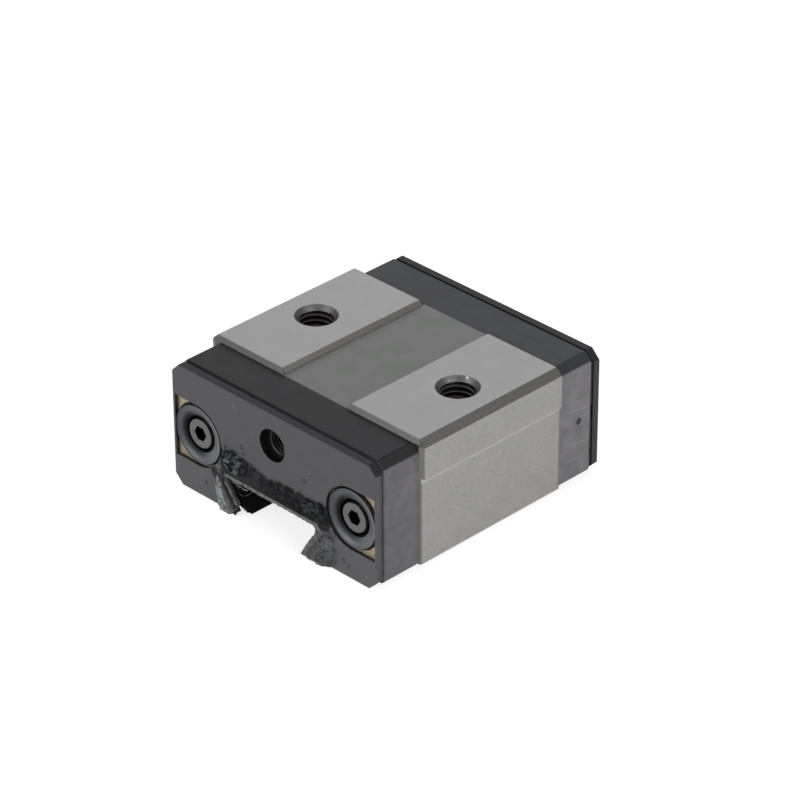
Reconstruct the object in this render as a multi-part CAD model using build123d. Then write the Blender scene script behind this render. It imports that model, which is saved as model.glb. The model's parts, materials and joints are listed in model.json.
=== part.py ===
from build123d import *
import os
from math import asin, cos, pi, sin

# Linear guide carriage, millimetres. X is the width, Y runs along the rail, Z is up.
# The origin is under the middle of the carriage, on the plane that its lips stand on.

# Profile of the rail that the carriage runs on, which isn't part of it
RAIL_WIDTH = 28.0
RAIL_TOP = 9.1
RAIL_BEVEL_WIDTH = 1.5
RAIL_BEVEL_DROP = 1.2
RAIL_FLANK_WIDTH = 3.6
RAIL_FLANK_DROP = 4.9
RAIL_LEG_WIDTH = 3.15
RAIL_LEG_DROP = 5.4

# Balls and the closed paths that they run in
BALL_DIAMETER = 3.969
BALL_PLAY = 0.02
FLANK_GROOVE_DEPTH = 0.375
RACE_CLEARANCE = 0.075
RETURN_CLEARANCE = 0.1
UPPER_TURN_DIAMETER = 8.5
UPPER_RETURN_DROP = 1.05
LOWER_TURN_DIAMETER = 6.8
LOWER_RETURN_DROP = 0.0

# Steel block
BLOCK_LENGTH = 39.6
BLOCK_WIDTH = 60.0
BLOCK_HEIGHT = 28.26
BLOCK_LIFT = 1.34
PAD_END_CHAMFER = 0.7
CORNER_CUT = 1.15
CORNER_RUN = 0.52
PAD_EDGE_CHAMFER = 1.5
BAND_DEPTH = 1.0
BAND_WIDTH = 18.1
BAND_WALL_RUN = 0.7
SIDE_STEP_DEPTH = 8.55
SIDE_STEP = 0.68
SIDE_STEP_DROP = 1.0
CEILING_HEIGHT = 10.5
UPPER_WALL_GAP = 1.75
LOWER_WALL_GAP = 1.3
BLOCK_LIP_GAP = 2.6

# Tapped mounting holes in the pads
MOUNT_SPACING = 40.0
MOUNT_THREAD_DIAMETER = 8.0
MOUNT_THREAD_DEPTH = 12.0
MOUNT_MOUTH_DIAMETER = 9.1
DRILL_POINT_SLOPE = 0.58

# Moulded end caps
CAP_LENGTH = 10.0
CAP_SIDE_INSET = 0.47
CAP_TOP_INSET = 0.05
CAP_TOP_CHAMFER = 1.95
CAP_BOTTOM = 0.7
CAP_BOTTOM_CHAMFER = 1.0
CAP_EDGE_CHAMFER = 0.4
CAP_EDGE_STEP = 0.5
CAP_EDGE_GAP = 0.45
CAP_RAIL_GAP = 0.35
CAP_FOOT_WIDTH = 0.5
CAP_FOOT_SPREAD = 2.0
DIMPLE_DIAMETER = 1.5
DIMPLE_DEPTH = 0.3
DIMPLE_FROM_BLOCK = 5.85
DIMPLE_BELOW_PADS = 15.2

# Grease ports and the grooves that feed the ball paths
PORT_BELOW_PADS = 8.5
PORT_THREAD_DIAMETER = 6.0
PORT_THREAD_DEPTH = 7.0
PORT_DUCT_DIAMETER = 2.0
PORT_MOUTH_DIAMETER = 7.15
GREASE_GROOVE_WIDTH = 1.4
GREASE_GROOVE_DEPTH = 0.9

# Return guides inside the caps
GUIDE_THICKNESS = 4.7
GUIDE_PLAY = 0.05
GUIDE_WEB_WIDTH = 1.6
GUIDE_WEB_DEPTH = 1.3

# End seals: steel plate with a rubber skin
SEAL_THICKNESS = 1.6
SEAL_PLATE_THICKNESS = 0.7
SEAL_SIDE_OVERHANG = 0.05
SEAL_TOP_INSET = 0.15
SEAL_BOTTOM = 0.27
SEAL_CHAMFER = 2.07
SEAL_EDGE_RUBBER = 0.45
SEAL_PLATE_RAIL_GAP = 2.7
NOTCH_DIAMETER = 14.1
NOTCH_RIM = 0.45
LIP_SQUEEZE = 0.15
LIP_FLARE = 1.2
LIP_BAND_WIDTH = 2.9
LIP_THICKNESS = 0.7
LIP_FOOT_WIDTH = 3.3
LIP_FOOT_RISE = 0.5
LIP_BOTTOM = 0.1

# What the torn left lobe of the front lip has lost
TEAR_WIDTH = 2.3
TEAR_HEIGHT = 2.4
TEAR_NOTCH = 0.8

# Cap screws, and the flanged collars that they sit in
SCREW_SPACING = 44.0
SCREW_ABOVE_RAIL = 4.85
SCREW_DIAMETER = 4.0
SCREW_LENGTH = 14.0
SCREW_PLAY = 0.2
SCREW_TAP_PLAY = 0.05
SCREW_TAP_SPARE = 1.5
SCREW_HEAD_DIAMETER = 7.0
SCREW_HEAD_HEIGHT = 4.0
SCREW_HEAD_EDGE = 0.35
SCREW_SOCKET_WIDTH = 3.0
SCREW_SOCKET_DEPTH = 2.0
SCREW_SUNK = 0.85
COLLAR_FLANGE_DIAMETER = 12.8
COLLAR_SUNK = 0.2
COLLAR_BARREL_DIAMETER = 10.0
COLLAR_BORE_DIAMETER = 7.6
COLLAR_DISH_DIAMETER = 11.8
COLLAR_DISH_DEPTH = 0.9
COLLAR_FLOOR = 0.35
COLLAR_PLAY = 0.05
PLATE_HOLE_PLAY = 0.5

# Strips that keep the balls in when the carriage is off its rail
RETAINER_BALL_GAP = 0.12
RETAINER_RAIL_GAP = 0.45
CENTRE_RETAINER_WIDTH = 1.6
UPPER_PLATE_THICKNESS = 0.9
LOWER_RETAINER_WIDTH = 1.7
LOWER_RETAINER_LIFT = 0.3

# Places that follow from the sizes above
TOP = BLOCK_LIFT + BLOCK_HEIGHT
BLOCK_END = BLOCK_LENGTH / 2
BLOCK_HALF = BLOCK_WIDTH / 2
LOWER_HALF = BLOCK_HALF - SIDE_STEP
BAND_FLOOR = TOP - BAND_DEPTH
CAP_END = BLOCK_END + CAP_LENGTH
CAP_HALF = LOWER_HALF - CAP_SIDE_INSET
CAP_TOP = BAND_FLOOR - CAP_TOP_INSET
SEAL_FACE = CAP_END + SEAL_THICKNESS
SEAL_HALF = CAP_HALF + SEAL_SIDE_OVERHANG
SEAL_TOP = CAP_TOP - SEAL_TOP_INSET
PORT_Z = TOP - PORT_BELOW_PADS
SCREW_X = SCREW_SPACING / 2
SCREW_Z = RAIL_TOP + SCREW_ABOVE_RAIL
HEAD_FACE = SEAL_FACE - SCREW_SUNK
HEAD_SEAT = HEAD_FACE - SCREW_HEAD_HEIGHT
BALL_R = BALL_DIAMETER / 2
RACE_R = BALL_R + RACE_CLEARANCE
RETURN_R = BALL_R + RETURN_CLEARANCE
FAR = 2 * BLOCK_WIDTH

RAIL_SHOULDER = Vector(RAIL_WIDTH / 2, RAIL_TOP - RAIL_BEVEL_DROP)
RAIL_CREST = RAIL_SHOULDER + Vector(-RAIL_BEVEL_WIDTH, RAIL_BEVEL_DROP)
RAIL_WAIST = RAIL_SHOULDER - Vector(RAIL_FLANK_WIDTH, RAIL_FLANK_DROP)
RAIL_LEG_END = RAIL_WAIST - Vector(RAIL_LEG_WIDTH, RAIL_LEG_DROP)


def away(start, end):
    """Unit vector at a right angle to a stretch of the rail's outline, pointing off the rail."""
    along = (end - start).normalized()
    return Vector(along.Y, -along.X)


BEVEL_NORMAL = away(RAIL_SHOULDER, RAIL_CREST)
FLANK_NORMAL = away(RAIL_WAIST, RAIL_SHOULDER)
UPPER_ROW = (RAIL_CREST + RAIL_SHOULDER) * 0.5 + BEVEL_NORMAL * (BALL_R + BALL_PLAY)
LOWER_ROW = (RAIL_SHOULDER + RAIL_WAIST) * 0.5 + FLANK_NORMAL * (BALL_R - FLANK_GROOVE_DEPTH)


def return_place(row, turn_diameter, drop):
    """Place of the return hole that a load row turns into."""
    return row + Vector((turn_diameter**2 - drop**2) ** 0.5, -drop)


UPPER_RETURN = return_place(UPPER_ROW, UPPER_TURN_DIAMETER, UPPER_RETURN_DROP)
LOWER_RETURN = return_place(LOWER_ROW, LOWER_TURN_DIAMETER, LOWER_RETURN_DROP)
PATHS = {
    "upper": (UPPER_ROW, UPPER_RETURN),
    "lower": (LOWER_ROW, LOWER_RETURN),
}


def outline(*points):
    """Face of a closed outline given as places across the width and up."""
    return make_face(Polyline(*[(p.X, p.Y) if isinstance(p, Vector) else p for p in points], close=True))


def both_sides(*points):
    """Face of an outline that is given for the right half and mirrored to the left."""
    right = [(p.X, p.Y) if isinstance(p, Vector) else p for p in points]
    left = [(-x, z) for x, z in reversed(right) if x > 0]
    return make_face(Polyline(*right, *left, close=True))


def disc(place, radius):
    """Round face at a place across the width and up."""
    return Pos(place[0], place[1]) * Circle(radius)


def prism(face, start, end):
    """Solid of a cross section between two places along the rail."""
    section = Plane(origin=(0, end, 0), x_dir=(1, 0, 0), z_dir=(0, -1, 0))
    return section * extrude(face, end - start)


def turned(profile, x, z):
    """Solid turned about a line along the rail, from (radius, y) points."""
    face = make_face(Polyline(*profile, close=True))
    return Pos(x, 0, z) * revolve(face, Axis.Y)


def mirrored(solid):
    """The same solid on the left side."""
    return mirror(solid, Plane.YZ)


def rear_of(solid):
    """A front piece turned half round, as it is fitted at the rear."""
    return Rot(0, 0, 180) * solid


def rail_section(gap):
    """The rail's cross section grown by a gap all round, open past the floor."""
    rail = both_sides(RAIL_CREST, RAIL_SHOULDER, RAIL_WAIST, RAIL_LEG_END)
    return offset(rail, gap, kind=Kind.INTERSECTION)


def turn_frame(row, back, end):
    """Plane of a half turn at one end of the block: X from load row to return, Y along the rail."""
    middle = (row + back) * 0.5
    across = (back - row).normalized()
    return Plane(
        origin=(middle.X, end * BLOCK_END, middle.Y),
        x_dir=(across.X, 0, across.Y),
        z_dir=(-across.Y, 0, across.X),
    )


def turn_channel(row, back, end):
    """Ring that the balls sweep where they turn back."""
    return turn_frame(row, back, end) * Torus((back - row).length / 2, RETURN_R)


def turn_core(row, back, end, play):
    """Round slab on the inside of a turn."""
    radius = (back - row).length / 2 + play
    return turn_frame(row, back, end) * Cylinder(radius, GUIDE_THICKNESS + 2 * play)


def block_section():
    """Outer cross section of the block, with the two pads and the band between them."""
    step_top = TOP - SIDE_STEP_DEPTH
    return both_sides(
        (BAND_WIDTH / 2, BAND_FLOOR),
        (BAND_WIDTH / 2 + BAND_WALL_RUN, TOP),
        (BLOCK_HALF - PAD_EDGE_CHAMFER, TOP),
        (BLOCK_HALF, TOP - PAD_EDGE_CHAMFER),
        (BLOCK_HALF, step_top),
        (LOWER_HALF, step_top - SIDE_STEP_DROP),
        (LOWER_HALF, BLOCK_LIFT),
    )


def channel_section():
    """Channel in the block's underside, with a race groove for each load row."""
    shoulder = RAIL_WIDTH / 2
    lip = RAIL_WAIST.X + BLOCK_LIP_GAP - RACE_CLEARANCE
    face = both_sides(
        (shoulder + UPPER_WALL_GAP - BALL_R, CEILING_HEIGHT),
        (shoulder + UPPER_WALL_GAP, CEILING_HEIGHT - BALL_R),
        (shoulder + LOWER_WALL_GAP, LOWER_ROW.Y + BALL_R / 2),
        (lip, LOWER_ROW.Y - BALL_R / 2),
        (lip, -BLOCK_LIFT),
    )
    for side in (-1, 1):
        for row, back in PATHS.values():
            face += disc((side * row.X, row.Y), RACE_R)
    return face


def mount_hole(side):
    """Tapped hole in a pad: mouth chamfer, full thread depth and drill point."""
    wall = MOUNT_THREAD_DIAMETER / 2
    mouth = MOUNT_MOUTH_DIAMETER / 2
    bottom = TOP - MOUNT_THREAD_DEPTH
    profile = Polyline(
        (0, TOP), (mouth, TOP), (wall, TOP - (mouth - wall)), (wall, bottom),
        (0, bottom - wall * DRILL_POINT_SLOPE), close=True,
    )
    return Pos(side * MOUNT_SPACING / 2, 0, 0) * revolve(Plane.XZ * make_face(profile), Axis.Z)


def end_wedge(end):
    """What the chamfer along the end of the pads takes away."""
    y = end * BLOCK_END
    wedge = make_face(Polyline((y - end * PAD_END_CHAMFER, TOP), (y, BAND_FLOOR), (y, TOP), close=True))
    return extrude(Plane.YZ * wedge, BLOCK_WIDTH, both=True)


def corner_wedge(side, end):
    """What the cut down an upright corner of the block takes away, over its whole height."""
    x = side * BLOCK_HALF
    y = end * BLOCK_END
    wedge = make_face(Polyline((x - side * CORNER_CUT, y), (x, y - end * CORNER_RUN), (x, y), close=True))
    return extrude(wedge, FAR, both=True)


def block():
    body = prism(block_section(), -BLOCK_END, BLOCK_END)
    for end in (-1, 1):
        body -= end_wedge(end)
        for side in (-1, 1):
            body -= corner_wedge(side, end)
    body -= prism(channel_section(), -FAR, FAR)
    for side in (-1, 1):
        body -= mount_hole(side)
        for row, back in PATHS.values():
            body -= prism(disc((side * back.X, back.Y), RETURN_R), -FAR, FAR)
        depth = SCREW_LENGTH - (HEAD_SEAT - BLOCK_END) + SCREW_TAP_SPARE
        tap = disc((side * SCREW_X, SCREW_Z), SCREW_DIAMETER / 2 + SCREW_TAP_PLAY)
        body -= prism(tap, -BLOCK_END, -BLOCK_END + depth)
        body -= prism(tap, BLOCK_END - depth, BLOCK_END)
    return body


def cap_section():
    """Outer cross section of an end cap, with the two feet beside the rail."""
    tip = RAIL_WAIST.X - RAIL_LEG_WIDTH * RAIL_WAIST.Y / RAIL_LEG_DROP + CAP_RAIL_GAP
    return both_sides(
        (CAP_HALF - CAP_TOP_CHAMFER, CAP_TOP),
        (CAP_HALF, CAP_TOP - CAP_TOP_CHAMFER),
        (CAP_HALF, CAP_BOTTOM + CAP_BOTTOM_CHAMFER),
        (CAP_HALF - CAP_BOTTOM_CHAMFER, CAP_BOTTOM),
        (tip + CAP_FOOT_WIDTH + CAP_FOOT_SPREAD, CAP_BOTTOM),
        (tip + CAP_FOOT_WIDTH, 0),
    )


def grease_grooves():
    """Grooves in the cap's inner face, from the port down to the turns of both sides."""
    half = GREASE_GROOVE_WIDTH / 2
    reach = (UPPER_ROW + UPPER_RETURN) * 0.5
    level = (PORT_Z + RAIL_TOP) / 2
    face = both_sides((half, PORT_Z), (half, level - half))
    face += both_sides((reach.X + half, level + half), (reach.X + half, level - half))
    for side in (-1, 1):
        face += Pos(side * reach.X, (level + reach.Y) / 2) * Rectangle(2 * half, level - reach.Y)
    return prism(face, -BLOCK_END - GREASE_GROOVE_DEPTH, -BLOCK_END)


def front_cap():
    shoulder = -CAP_END + CAP_EDGE_GAP
    body = prism(cap_section(), shoulder, -BLOCK_END)
    rim = body.edges().filter_by(lambda e: abs(e.center().Y - shoulder) < 1e-4)
    body = chamfer(rim, CAP_EDGE_CHAMFER)
    body += prism(offset(cap_section(), -CAP_EDGE_STEP, kind=Kind.INTERSECTION), -CAP_END, -BLOCK_END)
    body -= prism(rail_section(CAP_RAIL_GAP), -FAR, FAR)
    seat = COLLAR_BARREL_DIAMETER / 2 + COLLAR_PLAY
    for side in (-1, 1):
        body -= prism(disc((side * SCREW_X, SCREW_Z), seat), -FAR, -HEAD_SEAT + COLLAR_FLOOR)
        body -= prism(disc((side * SCREW_X, SCREW_Z), SCREW_DIAMETER / 2 + SCREW_PLAY), -FAR, FAR)
    for row, back in PATHS.values():
        hollow = turn_channel(row, back, -1) + turn_core(row, back, -1, GUIDE_PLAY)
        body -= hollow
        body -= mirrored(hollow)
    web = guide_web(GUIDE_PLAY)
    body -= web
    body -= mirrored(web)
    body -= prism(disc((0, PORT_Z), PORT_THREAD_DIAMETER / 2), -FAR, -CAP_END + PORT_THREAD_DEPTH)
    body -= prism(disc((0, PORT_Z), PORT_DUCT_DIAMETER / 2), -FAR, -BLOCK_END)
    body -= grease_grooves()
    dimple = Rot(0, 90, 0) * Cylinder(DIMPLE_DIAMETER / 2, 2 * DIMPLE_DEPTH)
    body -= Pos(-CAP_HALF, -BLOCK_END - DIMPLE_FROM_BLOCK, TOP - DIMPLE_BELOW_PADS) * dimple
    return body


def guide_web(play):
    """Bridge that joins the two cores of a return guide against the block's end."""
    upper = (UPPER_ROW + UPPER_RETURN) * 0.5
    lower = (LOWER_ROW + LOWER_RETURN) * 0.5
    middle = (upper + lower) * 0.5
    bridge = Rectangle(GUIDE_WEB_WIDTH + 2 * play, upper.Y - lower.Y)
    return prism(Pos(middle.X, middle.Y) * bridge, -BLOCK_END - GUIDE_WEB_DEPTH - play, -BLOCK_END)


def front_return_guide():
    """Moulded insert that forms the inside of both turns on the right."""
    body = guide_web(0)
    for row, back in PATHS.values():
        body += turn_core(row, back, -1, 0)
    body &= Pos(0, -BLOCK_END - FAR / 2, 0) * Box(FAR, FAR, FAR)
    for row, back in PATHS.values():
        body -= turn_channel(row, back, -1)
    return body


def seal_section(inset):
    """Cross section of an end seal with its four cut corners."""
    return both_sides(
        (SEAL_HALF - SEAL_CHAMFER - inset / 2, SEAL_TOP - inset),
        (SEAL_HALF - inset, SEAL_TOP - SEAL_CHAMFER - inset / 2),
        (SEAL_HALF - inset, SEAL_BOTTOM + SEAL_CHAMFER + inset / 2),
        (SEAL_HALF - SEAL_CHAMFER - inset / 2, SEAL_BOTTOM + inset),
    )


def front_seal_plate():
    """Steel plate inside a seal, open round the rail, the grease port and the collars."""
    face = seal_section(SEAL_EDGE_RUBBER) - rail_section(SEAL_PLATE_RAIL_GAP)
    face -= disc((0, PORT_Z), PORT_MOUTH_DIAMETER / 2 + SEAL_EDGE_RUBBER)
    for side in (-1, 1):
        face -= disc((side * SCREW_X, SCREW_Z), COLLAR_FLANGE_DIAMETER / 2 + PLATE_HOLE_PLAY)
    return prism(face, -CAP_END - SEAL_PLATE_THICKNESS, -CAP_END)


def notch(side):
    """U-shaped window in the rubber round a collar, closed by a thin rim at the side."""
    radius = NOTCH_DIAMETER / 2
    reach = SEAL_HALF - NOTCH_RIM - SCREW_X
    window = Pos(side * (SCREW_X + reach / 2), SCREW_Z) * Rectangle(reach, 2 * radius)
    half_round = disc((side * SCREW_X, SCREW_Z), radius)
    half_round &= Pos(side * (SCREW_X - radius / 2), SCREW_Z) * Rectangle(radius, 2 * radius)
    return window + half_round


def lip_cone(gap_at_face, gap_at_edge, back, front):
    """Solid that narrows round the rail from the seal's face to the edge of the lip."""
    sections = []
    for gap, y in ((gap_at_face, back), (gap_at_edge, front)):
        sections.append(Plane(origin=(0, y, 0), x_dir=(1, 0, 0), z_dir=(0, -1, 0)) * rail_section(gap))
    return loft(sections)


def lip():
    """Rubber lip that flares forward from the seal's face and wipes the rail."""
    front = -SEAL_FACE - LIP_FLARE
    outside = lip_cone(LIP_BAND_WIDTH, LIP_THICKNESS - LIP_SQUEEZE, -SEAL_FACE, front)
    band = LIP_BAND_WIDTH - LIP_THICKNESS
    inside = lip_cone(band, -LIP_SQUEEZE, -SEAL_FACE + LIP_FLARE / 4, front)
    return outside - inside


def lip_feet():
    """What the lip keeps: everything above the line of its two feet."""
    inner = RAIL_WAIST.X - RAIL_LEG_WIDTH * RAIL_WAIST.Y / RAIL_LEG_DROP
    low = inner + LIP_FOOT_WIDTH
    return both_sides(
        (FAR, FAR), (FAR, SEAL_BOTTOM), (low + LIP_FOOT_WIDTH, SEAL_BOTTOM),
        (low, LIP_BOTTOM), (0, LIP_BOTTOM + LIP_FOOT_RISE * low / LIP_FOOT_WIDTH),
    )


def tear():
    """Ragged corner missing from the left foot of the front lip."""
    inner = RAIL_WAIST.X - RAIL_LEG_WIDTH * RAIL_WAIST.Y / RAIL_LEG_DROP - LIP_SQUEEZE
    far = inner + TEAR_WIDTH
    return outline(
        (0, -TEAR_HEIGHT), (-far, -TEAR_HEIGHT), (-far, LIP_BOTTOM + TEAR_NOTCH),
        (-far - TEAR_NOTCH, TEAR_HEIGHT / 2), (-far + TEAR_NOTCH / 2, TEAR_HEIGHT),
        (0, TEAR_HEIGHT + TEAR_NOTCH),
    )


def front_seal_rubber(torn):
    """Rubber skin of a seal, with the lip round the rail."""
    face = seal_section(0) + (rail_section(LIP_BAND_WIDTH) & both_sides((FAR, SEAL_TOP), (FAR, 0)))
    face -= rail_section(LIP_BAND_WIDTH - LIP_THICKNESS)
    windows = notch(-1) + notch(1) + disc((0, PORT_Z), PORT_MOUTH_DIAMETER / 2)
    body = prism(face, -SEAL_FACE, -CAP_END) - front_seal_plate() + lip()
    body -= prism(windows, -FAR, -CAP_END)
    body &= prism(lip_feet(), -FAR, 0)
    if torn:
        body -= prism(tear(), -FAR, 0)
    return body


def front_collar():
    """Flanged steel collar on the right, dished towards the screw's head."""
    face = -SEAL_FACE + COLLAR_SUNK
    flange = COLLAR_FLANGE_DIAMETER / 2
    barrel = COLLAR_BARREL_DIAMETER / 2
    bore = COLLAR_BORE_DIAMETER / 2
    floor = -HEAD_SEAT
    hole = SCREW_DIAMETER / 2 + SCREW_PLAY
    return turned(
        [
            (COLLAR_DISH_DIAMETER / 2, face), (flange, face), (flange, -CAP_END),
            (barrel, -CAP_END), (barrel, floor + COLLAR_FLOOR), (hole, floor + COLLAR_FLOOR),
            (hole, floor), (bore, floor), (bore, face + COLLAR_DISH_DEPTH),
        ],
        SCREW_X, SCREW_Z,
    )


def front_screw():
    """Socket head cap screw on the right."""
    head = SCREW_HEAD_DIAMETER / 2
    shank = SCREW_DIAMETER / 2
    tip = -HEAD_SEAT + SCREW_LENGTH
    body = turned(
        [
            (0, -HEAD_FACE), (head - SCREW_HEAD_EDGE, -HEAD_FACE), (head, -HEAD_FACE + SCREW_HEAD_EDGE),
            (head, -HEAD_SEAT), (shank, -HEAD_SEAT), (shank, tip - shank / 4),
            (shank * 3 / 4, tip), (0, tip),
        ],
        SCREW_X, SCREW_Z,
    )
    hexagon = RegularPolygon(SCREW_SOCKET_WIDTH / 2, 6, major_radius=False)
    socket = Pos(SCREW_X, SCREW_Z) * hexagon
    return body - prism(socket, -HEAD_FACE, -HEAD_FACE + SCREW_SOCKET_DEPTH)


def path_point(row, back, travel):
    """Place on a ball's closed path, travelled from the front end of the load row."""
    radius = (back - row).length / 2
    middle = (row + back) * 0.5
    arm = (back - row).normalized() * radius
    turn = pi * radius
    if travel < BLOCK_LENGTH:
        return (row.X, -BLOCK_END + travel, row.Y)
    travel -= BLOCK_LENGTH
    if travel < turn:
        at = middle - arm * cos(travel / radius)
        return (at.X, BLOCK_END + radius * sin(travel / radius), at.Y)
    travel -= turn
    if travel < BLOCK_LENGTH:
        return (back.X, BLOCK_END - travel, back.Y)
    travel -= BLOCK_LENGTH
    at = middle + arm * cos(travel / radius)
    return (at.X, -BLOCK_END - radius * sin(travel / radius), at.Y)


def ball_circuit(row, back):
    """All the balls of one path on the right, as many as its turns let in."""
    radius = (back - row).length / 2
    length = 2 * BLOCK_LENGTH + 2 * pi * radius
    pitch = 2 * radius * asin((BALL_DIAMETER + BALL_PLAY) / (2 * radius))
    count = int(length / pitch)
    return [Pos(*path_point(row, back, i * length / count)) * Sphere(BALL_R) for i in range(count)]


def ball_room():
    """Cross section that a retainer leaves free for the balls of both rows."""
    room = BALL_R + RETAINER_BALL_GAP
    return disc((UPPER_ROW.X, UPPER_ROW.Y), room) + disc((LOWER_ROW.X, LOWER_ROW.Y), room)


def centre_retainer():
    """Strip on the right wall of the channel, between the two rows."""
    wall_top = Vector(RAIL_WIDTH / 2 + UPPER_WALL_GAP, CEILING_HEIGHT - BALL_R)
    wall_bottom = Vector(RAIL_WIDTH / 2 + LOWER_WALL_GAP, LOWER_ROW.Y + BALL_R / 2)
    face = outline(
        wall_top, wall_bottom,
        wall_bottom - Vector(CENTRE_RETAINER_WIDTH * 3 / 2, 0),
        wall_top - Vector(CENTRE_RETAINER_WIDTH * 3 / 2, 0),
    )
    face -= rail_section(RETAINER_RAIL_GAP)
    face -= ball_room()
    return prism(face, -BLOCK_END, BLOCK_END)


def upper_retainer():
    """Plate under the ceiling of the channel, between the two upper rows."""
    low = CEILING_HEIGHT - UPPER_PLATE_THICKNESS
    face = both_sides((UPPER_ROW.X, CEILING_HEIGHT), (UPPER_ROW.X, low))
    face -= ball_room() + mirror(ball_room(), Plane.YZ)
    return prism(face, -BLOCK_END, BLOCK_END)


def lower_retainer():
    """Strip on the right lip of the block, under the lower row."""
    lip_x = RAIL_WAIST.X + BLOCK_LIP_GAP - RACE_CLEARANCE
    face = outline(
        (lip_x, BLOCK_LIFT + LOWER_RETAINER_LIFT), (lip_x, LOWER_ROW.Y),
        (RAIL_WAIST.X, LOWER_ROW.Y), (lip_x - LOWER_RETAINER_WIDTH, RAIL_WAIST.Y),
        (lip_x - LOWER_RETAINER_WIDTH, BLOCK_LIFT + LOWER_RETAINER_LIFT),
    )
    face -= rail_section(RETAINER_RAIL_GAP)
    face -= ball_room()
    return prism(face, -BLOCK_END, BLOCK_END)


def at_four_corners(name, piece):
    """Nodes of a piece that is fitted at both ends and both sides."""
    return {
        f"{name}_front_right": piece,
        f"{name}_front_left": mirrored(piece),
        f"{name}_rear_right": mirrored(rear_of(piece)),
        f"{name}_rear_left": rear_of(piece),
    }


def all_nodes():
    cap = front_cap()
    plate = front_seal_plate()
    nodes = {
        "block": block(),
        "front_end_cap": cap,
        "rear_end_cap": rear_of(cap),
        "front_seal_plate": plate,
        "rear_seal_plate": rear_of(plate),
        "front_seal_rubber": front_seal_rubber(torn=True),
        "rear_seal_rubber": rear_of(front_seal_rubber(torn=False)),
        "upper_retainer_plate": upper_retainer(),
    }
    nodes.update(at_four_corners("return_guide", front_return_guide()))
    nodes.update(at_four_corners("screw_collar", front_collar()))
    nodes.update(at_four_corners("cap_screw", front_screw()))
    for name, strip in (("centre_retainer", centre_retainer()), ("lower_retainer", lower_retainer())):
        nodes[f"{name}_right"] = strip
        nodes[f"{name}_left"] = mirrored(strip)
    for name, (row, back) in PATHS.items():
        balls = ball_circuit(row, back)
        nodes[f"balls_{name}_right"] = Compound(children=balls)
        nodes[f"balls_{name}_left"] = Compound(children=[mirrored(ball) for ball in balls])
    return nodes


os.makedirs("parts", exist_ok=True)
for name, shape in all_nodes().items():
    export_step(shape, f"parts/{name}.step")
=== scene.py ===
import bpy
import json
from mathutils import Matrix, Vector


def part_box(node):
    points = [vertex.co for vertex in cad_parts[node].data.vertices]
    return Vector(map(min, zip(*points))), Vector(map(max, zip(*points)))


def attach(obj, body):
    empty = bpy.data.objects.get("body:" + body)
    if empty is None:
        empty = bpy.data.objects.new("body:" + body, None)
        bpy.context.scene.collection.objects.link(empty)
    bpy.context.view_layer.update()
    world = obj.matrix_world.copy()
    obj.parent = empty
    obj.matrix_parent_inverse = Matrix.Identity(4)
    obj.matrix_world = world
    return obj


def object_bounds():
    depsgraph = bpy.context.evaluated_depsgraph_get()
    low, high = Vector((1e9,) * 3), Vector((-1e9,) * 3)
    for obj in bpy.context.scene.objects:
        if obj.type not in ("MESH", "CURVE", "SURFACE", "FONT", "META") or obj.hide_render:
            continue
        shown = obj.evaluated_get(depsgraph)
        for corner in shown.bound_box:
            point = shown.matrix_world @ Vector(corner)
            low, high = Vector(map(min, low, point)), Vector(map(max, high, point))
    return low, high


bl_info = {
    "name": "Linear Guide Carriage",
    "version": (1, 0, 0),
    "blender": (4, 5, 0),
    "location": "3D View > Sidebar > Carriage",
    "description": "Finishes a used linear guide carriage and sets it on a pale studio floor",
    "category": "Object",
}

import json
import math

import bpy
from bpy.props import FloatProperty, FloatVectorProperty, PointerProperty
from bpy.types import Operator, Panel, PropertyGroup
from mathutils import Matrix, Vector, noise

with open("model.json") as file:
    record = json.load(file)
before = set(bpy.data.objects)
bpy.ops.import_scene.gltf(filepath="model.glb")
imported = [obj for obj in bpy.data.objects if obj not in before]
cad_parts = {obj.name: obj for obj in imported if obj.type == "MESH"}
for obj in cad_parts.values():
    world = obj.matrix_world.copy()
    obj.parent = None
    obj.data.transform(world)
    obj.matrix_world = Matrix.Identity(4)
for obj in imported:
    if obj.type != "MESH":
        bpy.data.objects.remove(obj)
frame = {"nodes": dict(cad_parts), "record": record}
NODES = frame["nodes"]
MOUNTS = {m["name"]: m for m in frame["record"]["mounts"]}
CAD_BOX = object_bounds()
MM = 0.001

# The photograph's camera: where it stands round the carriage, and how far
CAMERA_AZIMUTH = math.radians(45.22)
CAMERA_ELEVATION = math.radians(31.09)
CAMERA_ROLL = math.radians(-0.23)
CAMERA_DISTANCE = 0.79665
CAMERA_LENS = 178.8
CAMERA_SLIDE = (0.002735, -0.000429)
AIM_BELOW_PADS = 0.011

# Places on the carriage, in millimetres
PAD_TOP = CAD_BOX[1].z / MM
LIP_FRONT = CAD_BOX[0].y / MM
HOLE_X = MOUNTS["mounting_hole_right"]["pos_m"][0] / MM
PORT_Z = MOUNTS["front_grease_port"]["pos_m"][2] / MM
SCREW_BOX = [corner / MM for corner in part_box("cap_screw_front_right")]
SCREW_X = (SCREW_BOX[0].x + SCREW_BOX[1].x) / 2
SCREW_Z = (SCREW_BOX[0].z + SCREW_BOX[1].z) / 2
HEAD_FACE = -SCREW_BOX[0].y
CAP_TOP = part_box("front_end_cap")[1].z / MM
UPPER_SIDE = 29.98
LOWER_SIDE = 29.3
STEP_BOTTOM = 20.0
STEP_TOP = 21.1
BLOCK_END = 19.16
BAND_DEPTH = 1.0
BAND_HALF = 9.06
SEAL_FACE = 31.3
FLOOR_GAP = 0.03

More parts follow.
